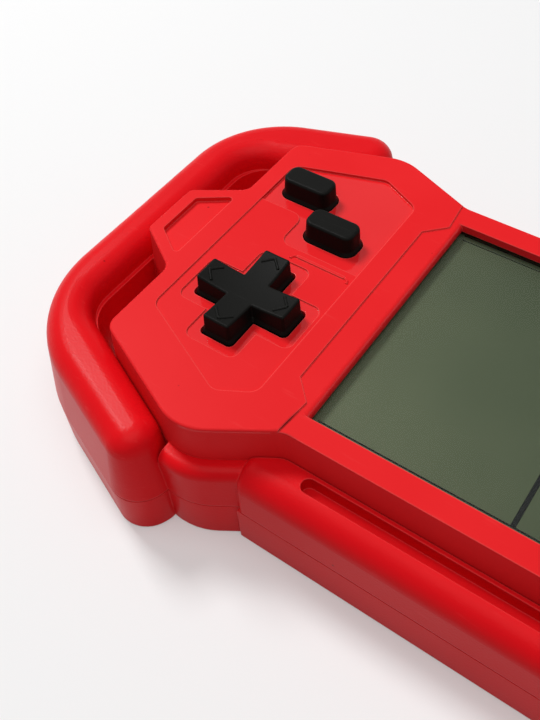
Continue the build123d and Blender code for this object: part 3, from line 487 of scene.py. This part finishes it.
# The third colour is the paler edge and scuff colour: a painted highlight along edges as well as wear.
inner = {
    "reflector": ((0.30, 0.33, 0.26), (0.26, 0.29, 0.22), (0.4, 0.42, 0.35), 0.45, 0.004),
    "holder_plastic": ((0.62, 0.62, 0.59), (0.56, 0.56, 0.53), (0.7, 0.7, 0.68), 0.5, 0.008),
    "contact_rubber": ((0.07, 0.07, 0.08), (0.10, 0.10, 0.11), (0.14, 0.14, 0.14), 0.7, 0.01),
    "board_green": ((0.012, 0.10, 0.030), (0.02, 0.14, 0.04), (0.10, 0.22, 0.10), 0.4, 0.006),
    "epoxy_black": ((0.008, 0.008, 0.009), (0.012, 0.012, 0.013), (0.03, 0.03, 0.03), 0.18, 0.004),
    "buzzer_black": ((0.015, 0.015, 0.016), (0.02, 0.02, 0.02), (0.06, 0.06, 0.06), 0.5, 0.006),
    "capacitor_sleeve": ((0.012, 0.018, 0.07), (0.016, 0.022, 0.08), (0.06, 0.07, 0.12), 0.3, 0.004),
    "keypad_rubber": ((0.48, 0.49, 0.48), (0.42, 0.43, 0.42), (0.55, 0.55, 0.54), 0.65, 0.012),
    "cell_wrap": ((0.02, 0.02, 0.024), (0.025, 0.025, 0.03), (0.12, 0.12, 0.12), 0.3, 0.003),
    "contact_steel": ((0.62, 0.61, 0.57), (0.56, 0.55, 0.52), (0.72, 0.71, 0.68), 0.25, 0.004),
    "screw_steel": ((0.48, 0.48, 0.47), (0.40, 0.40, 0.39), (0.60, 0.60, 0.58), 0.35, 0.006),
}
for slot, values in inner.items():
    materials[slot] = plastic(slot, **dict(zip(columns, values)))
for slot in ("contact_steel", "screw_steel"):
    shader_of(materials[slot]).inputs["Metallic"].default_value = 1.0
print("inner materials", len(inner))

# %% [markdown]
# ## Bare ends of the cells
# The two cells lie side by side, head to tail, across the middle of the bay, where X is 0. A wrap covers
# most of each, and its two ends stay bare steel. So the wrap's material turns to metal by the distance
# from that middle, and the same number colours it. The flat end of a cell is the nearer one, and the wrap
# stops a little short of it.

# %% Bare ends of the cells
wrap_stops_short = 1.3 * mm
bare_from = 1.1 * mm
bare_colour = (0.62, 0.61, 0.58)
cell_low, cell_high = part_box("battery_one")
flat_end = min(-cell_low[0], cell_high[0])
wrap_tree = materials["cell_wrap"].node_tree
wrap_shader = shader_of(materials["cell_wrap"])
from_middle = calculate(wrap_tree, "ABSOLUTE", coordinate(wrap_tree, "X"))
bare = step_between(wrap_tree, from_middle, flat_end - wrap_stops_short, flat_end - bare_from)
wrap_now = source_of(wrap_shader, "Base Color")
wrap_tree.links.new(mix_colours(wrap_tree, bare, wrap_now, bare_colour), wrap_shader.inputs["Base Color"])
wrap_tree.links.new(bare, wrap_shader.inputs["Metallic"])
print("flat end of a cell", round(flat_end / mm, 2), "mm from the middle")

# %% [markdown]
# ## Materials on the pieces
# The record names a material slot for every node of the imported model, and that slot's material goes on
# it. The raised face is the exception: it shares the red slot with the bumpers but has its own finish.

# %% Materials on the pieces
for entry in frame["record"]["subparts"]:
    is_face = entry["node"] == "front_cover"
    piece_materials = nodes[entry["node"]].data.materials
    piece_materials.clear()
    piece_materials.append(red_face if is_face else materials[entry["material_slot"]])
print("materials", len(materials) + 1, "on", len(nodes), "nodes")

# %% [markdown]
# ## Lines on the screen glass
# The glass has two dark lines along its far edge, one along its near edge, and a black divider between
# its left and right fields. Each is a thin dark strip, a flat box that stands a hair over the glass. All
# of them together are one piece, made from a list of rectangles: left, near, right and far edge, in
# millimetres.

# %% Screen lines
glass_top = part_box("lcd_glass")[1][2]
strip_depth = 0.03 * mm
dark_lines = {
    "far line": (-40.8, 31.35, 40.8, 31.65),
    "second line": (-40.8, 29.90, 40.8, 30.10),
    "near line": (-40.8, -29.0, 40.8, -28.65),
    "divider": (-1.15, -28.65, -0.15, 29.90),
}
dark_line_mesh = bpy.data.meshes.new("screen_lines")
builder = bmesh.new()
for left, near, right, far in dark_lines.values():
    middle = Matrix.Translation(((left + right) / 2 * mm, (near + far) / 2 * mm, glass_top + strip_depth / 2))
    stretch = Matrix.Diagonal(((right - left) * mm, (far - near) * mm, strip_depth, 1.0))
    bmesh.ops.create_cube(builder, size=1.0, matrix=middle @ stretch)
builder.to_mesh(dark_line_mesh)
builder.free()
dark_line_mesh.materials.append(materials["epoxy_black"])
screen_lines = put_in_scene("screen_lines", dark_line_mesh)
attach(screen_lines, "housing")
print("screen lines", len(dark_lines))

# %% [markdown]
# ## Arrows on the directional pad
# Each arm of the pad ends in a raised arrow: a thin rounded ridge bent into a V that points outwards. The
# four are the same shape, turned a quarter each time, which is a job for Geometry Nodes. The sizes are
# named inputs of the tree, so they can be tried out in the modifier without touching a node.

# %% Arrow inputs
arrow_sizes = {
    "Tip Reach": 9.9 * mm,
    "Half Width": 2.2 * mm,
    "Run": 2.1 * mm,
    "Ridge Radius": 0.36 * mm,
    "Sunk": 0.08 * mm,
}
arrow_tree = bpy.data.node_groups.new("pad_arrows", "GeometryNodeTree")
for label, value in arrow_sizes.items():
    socket = arrow_tree.interface.new_socket(label, in_out="INPUT", socket_type="NodeSocketFloat")
    socket.default_value = value
arrow_tree.interface.new_socket("Material", in_out="INPUT", socket_type="NodeSocketMaterial")
arrow_tree.interface.new_socket("Geometry", in_out="OUTPUT", socket_type="NodeSocketGeometry")
given = arrow_tree.nodes.new("NodeGroupInput").outputs
print("arrow inputs", list(arrow_sizes))

# %% [markdown]
# A V is two straight strokes from its ends to its tip. They are cut into short lengths, so that they can
# follow the hollow of the pad later, and a small circle is carried along them to give the ridge its round
# back.

# %% One arrow
points_on_stroke = 10
sides_of_ridge = 10
tail = calculate(arrow_tree, "SUBTRACT", given["Tip Reach"], given["Run"])
other_side = calculate(arrow_tree, "MULTIPLY", given["Half Width"], -1.0)
tip = add(arrow_tree, "ShaderNodeCombineXYZ", {"X": given["Tip Reach"]}).outputs[0]
both = add(arrow_tree, "GeometryNodeJoinGeometry")
for across in (other_side, given["Half Width"]):
    end = add(arrow_tree, "ShaderNodeCombineXYZ", {"X": tail, "Y": across}).outputs[0]
    stroke = add(arrow_tree, "GeometryNodeCurvePrimitiveLine", {"Start": end, "End": tip}).outputs[0]
    arrow_tree.links.new(stroke, both.inputs[0])
fine = add(arrow_tree, "GeometryNodeResampleCurve", {"Curve": both.outputs[0], "Count": points_on_stroke})
profile = add(
    arrow_tree, "GeometryNodeCurvePrimitiveCircle",
    {"Resolution": sides_of_ridge, "Radius": given["Ridge Radius"]})
ridge = add(
    arrow_tree, "GeometryNodeCurveToMesh",
    {"Curve": fine.outputs[0], "Profile Curve": profile.outputs["Curve"], "Fill Caps": True}).outputs[0]
print("one arrow", len(arrow_tree.nodes), "nodes")

# %% [markdown]
# Four points in one place carry a copy each, turned by its number. Realize Instances makes them one real
# mesh.

# %% Four arrows
arms = 4
points = add(arrow_tree, "GeometryNodeMeshLine", {"Count": arms, "Offset": (0.0, 0.0, 0.0)}).outputs[0]
number = add(arrow_tree, "GeometryNodeInputIndex").outputs[0]
turn = calculate(arrow_tree, "MULTIPLY", number, 2 * math.pi / arms)
facing = add(arrow_tree, "ShaderNodeCombineXYZ", {"Z": turn})
copies = add(
    arrow_tree, "GeometryNodeInstanceOnPoints",
    {"Points": points, "Instance": ridge, "Rotation": facing.outputs[0]}).outputs[0]
whole = add(arrow_tree, "GeometryNodeRealizeInstances", {"Geometry": copies}).outputs[0]
print("four arrows", len(arrow_tree.nodes), "nodes")

# %% [markdown]
# The pad's top is hollowed by a large sphere, so the arrows are lifted by the height of that sphere at
# each point. By Pythagoras, the sphere's centre stands over a point by the root of radius squared less
# distance squared. A small part of each ridge is sunk into the pad, so that no gap shows under it.

# %% Arrows laid on the pad
pad_x = -68.2 * mm
pad_y = -13.5 * mm
dish_radius = 69.03 * mm
dish_floor = 36.3 * mm
position = add(arrow_tree, "GeometryNodeInputPosition").outputs[0]
here = add(arrow_tree, "ShaderNodeSeparateXYZ", {0: position}).outputs
square_y = calculate(arrow_tree, "MULTIPLY", here["Y"], here["Y"])
square = calculate(arrow_tree, "MULTIPLY_ADD", here["X"], here["X"], square_y)
under_centre = calculate(arrow_tree, "SQRT", calculate(arrow_tree, "SUBTRACT", dish_radius ** 2, square))
dish_height = calculate(arrow_tree, "SUBTRACT", dish_floor + dish_radius, under_centre)
rise = calculate(arrow_tree, "SUBTRACT", dish_height, given["Sunk"])
lift = add(arrow_tree, "ShaderNodeCombineXYZ", {"X": pad_x, "Y": pad_y, "Z": rise}).outputs[0]
laid = add(arrow_tree, "GeometryNodeSetPosition", {"Geometry": whole, "Offset": lift}).outputs[0]
dressed = add(arrow_tree, "GeometryNodeSetMaterial", {"Geometry": laid, "Material": given["Material"]})
add(arrow_tree, "NodeGroupOutput", {"Geometry": dressed.outputs[0]})
print("arrow tree", len(arrow_tree.nodes), "nodes")

# %% [markdown]
# The tree is run on an empty object. Its inputs are set by their identifiers, and then the result is kept
# as a plain mesh, so that the piece doesn't depend on the modifier any more and rides on the pad like the
# pad itself.


# %% Pad arrows
def plain_mesh(maker, name):
    """Keep what an object's modifiers or bevel make as a plain mesh, and remove the object."""
    made = maker.evaluated_get(bpy.context.evaluated_depsgraph_get())
    mesh = bpy.data.meshes.new_from_object(made)
    mesh.name = name
    bpy.data.objects.remove(maker)
    return mesh


arrow_maker = put_in_scene("arrow_maker", bpy.data.meshes.new("arrow_maker"))
modifier = arrow_maker.modifiers.new("arrows", "NODES")
modifier.node_group = arrow_tree
identifiers = {item.name: item.identifier for item in arrow_tree.interface.items_tree}
for label, value in {**arrow_sizes, "Material": black}.items():
    modifier[identifiers[label]] = value
arrow_mesh = plain_mesh(arrow_maker, "pad_arrows")
pad_arrows = put_in_scene("pad_arrows", arrow_mesh)
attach(pad_arrows, "dpad")
print("pad arrows", len(arrow_mesh.polygons), "faces")

# %% [markdown]
# ## Hooks of the moulded rib
# A short rib stands on the control deck between the pad and the buttons. On the real cover both of its
# ends curl towards the pad. A curve with a round bevel draws such a quarter turn with few points, and it
# A curve with a round bevel draws such a quarter turn with few points, and it is made a mesh so that it
# can ride like any other piece. The curve runs at the level of the deck, so the upper half of its round
# bevel stands over the deck and the lower half is hidden in it.

# %% Rib hooks
rib_y = 2.9 * mm
rib_ends = (-67.1 * mm, -54.9 * mm)
hook_radius = 1.1 * mm
hook_rise = 0.33 * mm
hook_steps = 8
hook_roundness = 3
hook_curve = bpy.data.curves.new("rib_hooks", "CURVE")
hook_curve.dimensions = "3D"
hook_curve.bevel_depth = hook_rise
hook_curve.bevel_resolution = hook_roundness
hook_curve.use_fill_caps = True
for x_end, side in zip(rib_ends, (-1, 1)):
    spline = hook_curve.splines.new("POLY")
    spline.points.add(hook_steps)
    for step, point in enumerate(spline.points):
        angle = math.pi / 2 * step / hook_steps
        x = x_end + side * hook_radius * math.sin(angle)
        y = rib_y - hook_radius * (1 - math.cos(angle))
        point.co = (x, y, deck_level, 1.0)
hook_mesh = plain_mesh(put_in_scene("hook_maker", hook_curve), "rib_hooks")
hook_mesh.materials.clear()
hook_mesh.materials.append(red_face)
rib_hooks = put_in_scene("rib_hooks", hook_mesh)
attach(rib_hooks, "housing")
print("rib hooks", len(hook_mesh.polygons), "faces")

# %% [markdown]
# ## White sheet
# The console lies on a white sheet. The sheet looks white by a faint glow of its own, which grows with
# the distance as the lamps' light fades. Only the camera, mirrors and glass see that glow, so it doesn't
# light the console like a lamp. From below the sheet is clear, so that the underside can be looked at
# too.


# %% White paper
def seen_directly(tree):
    """One for rays from the camera, from mirrors and through glass, and nothing for the rest."""
    path = add(tree, "ShaderNodeLightPath").outputs
    seen_or_mirrored = calculate(tree, "MAXIMUM", path["Is Camera Ray"], path["Is Glossy Ray"])
    return calculate(tree, "MAXIMUM", seen_or_mirrored, path["Is Transmission Ray"])


white = (1.0, 1.0, 1.0, 1.0)
paper_values = {
    "Base Color": (0.64, 0.64, 0.64, 1.0),
    "Roughness": 0.9,
    "IOR": 1.1,
    "Emission Color": white,
}
glow_starts = 0.35
glow_is_full = 1.70
glow_near = 0.21
glow_far = 0.76

paper, tree, shader = new_material("white_paper")
for label, value in paper_values.items():
    shader.inputs[label].default_value = value
distance = add(tree, "ShaderNodeVectorMath", {0: own_place(tree)}, operation="LENGTH").outputs["Value"]
glow_here = step_between(tree, distance, glow_starts, glow_is_full, glow_near, glow_far)
glow = calculate(tree, "MULTIPLY", seen_directly(tree), glow_here)
tree.links.new(glow, shader.inputs["Emission Strength"])
below = add(tree, "ShaderNodeNewGeometry").outputs["Backfacing"]
clear = add(tree, "ShaderNodeBsdfTransparent").outputs["BSDF"]
one_way = add(tree, "ShaderNodeMixShader", {0: below, 1: shader.outputs["BSDF"], 2: clear})
tree.links.new(one_way.outputs["Shader"], tree.nodes["Material Output"].inputs["Surface"])
print("paper", len(tree.nodes), "nodes")

# %% [markdown]
# The sheet itself is one large square. It lies a hair lower than the underside of the console, because
# two surfaces in the same plane would flicker into each other.

# %% Floor
floor_half = 3.0
floor_drop = 0.05 * mm
floor_mesh = bpy.data.meshes.new("floor")
corners = [(x * floor_half, y * floor_half, -floor_drop) for x, y in ((-1, -1), (1, -1), (1, 1), (-1, 1))]
floor_mesh.from_pydata(corners, [], [(0, 1, 2, 3)])
floor_mesh.materials.append(paper)
floor = put_in_scene("floor", floor_mesh)
print("floor", 2 * floor_half, "m square")

# %% [markdown]
# ## Lamps and room
# A small lamp stands high on the left and a broad one hangs overhead, so the walls that face the camera
# are darker than the face. Each row gives a lamp's place and width in metres and its power in watts, and
# each lamp is turned to look at the middle of the console. The room is pale to the camera, to mirrors and
# to glass, and dimmer as a source of light. The Standard view shows each colour about as it is written.

# %% Lamps and room
lamps = {
    "left_light": ((-0.66, 0.20, 0.90), 0.28, 7.8),
    "top_light": ((0.12, -0.20, 1.30), 1.10, 8.0),
}
for name, (lamp_place, width, power) in lamps.items():
    lamp_data = bpy.data.lights.new(name, "AREA")
    lamp_data.size = width
    lamp_data.energy = power
    lamp = put_in_scene(name, lamp_data)
    lamp.location = lamp_place
    lamp.rotation_euler = (-Vector(lamp_place)).to_track_quat("-Z", "Y").to_euler()

room_as_light = 0.20
room_as_seen = 0.88
room = bpy.data.worlds.new("room")
room.use_nodes = True
bpy.context.scene.world = room
background = room.node_tree.nodes["Background"]
background.inputs["Color"].default_value = white
brightness = by_share(room.node_tree, seen_directly(room.node_tree), room_as_light, room_as_seen)
room.node_tree.links.new(brightness, background.inputs["Strength"])
bpy.context.scene.view_settings.view_transform = "Standard"
print("lamps", list(lamps))
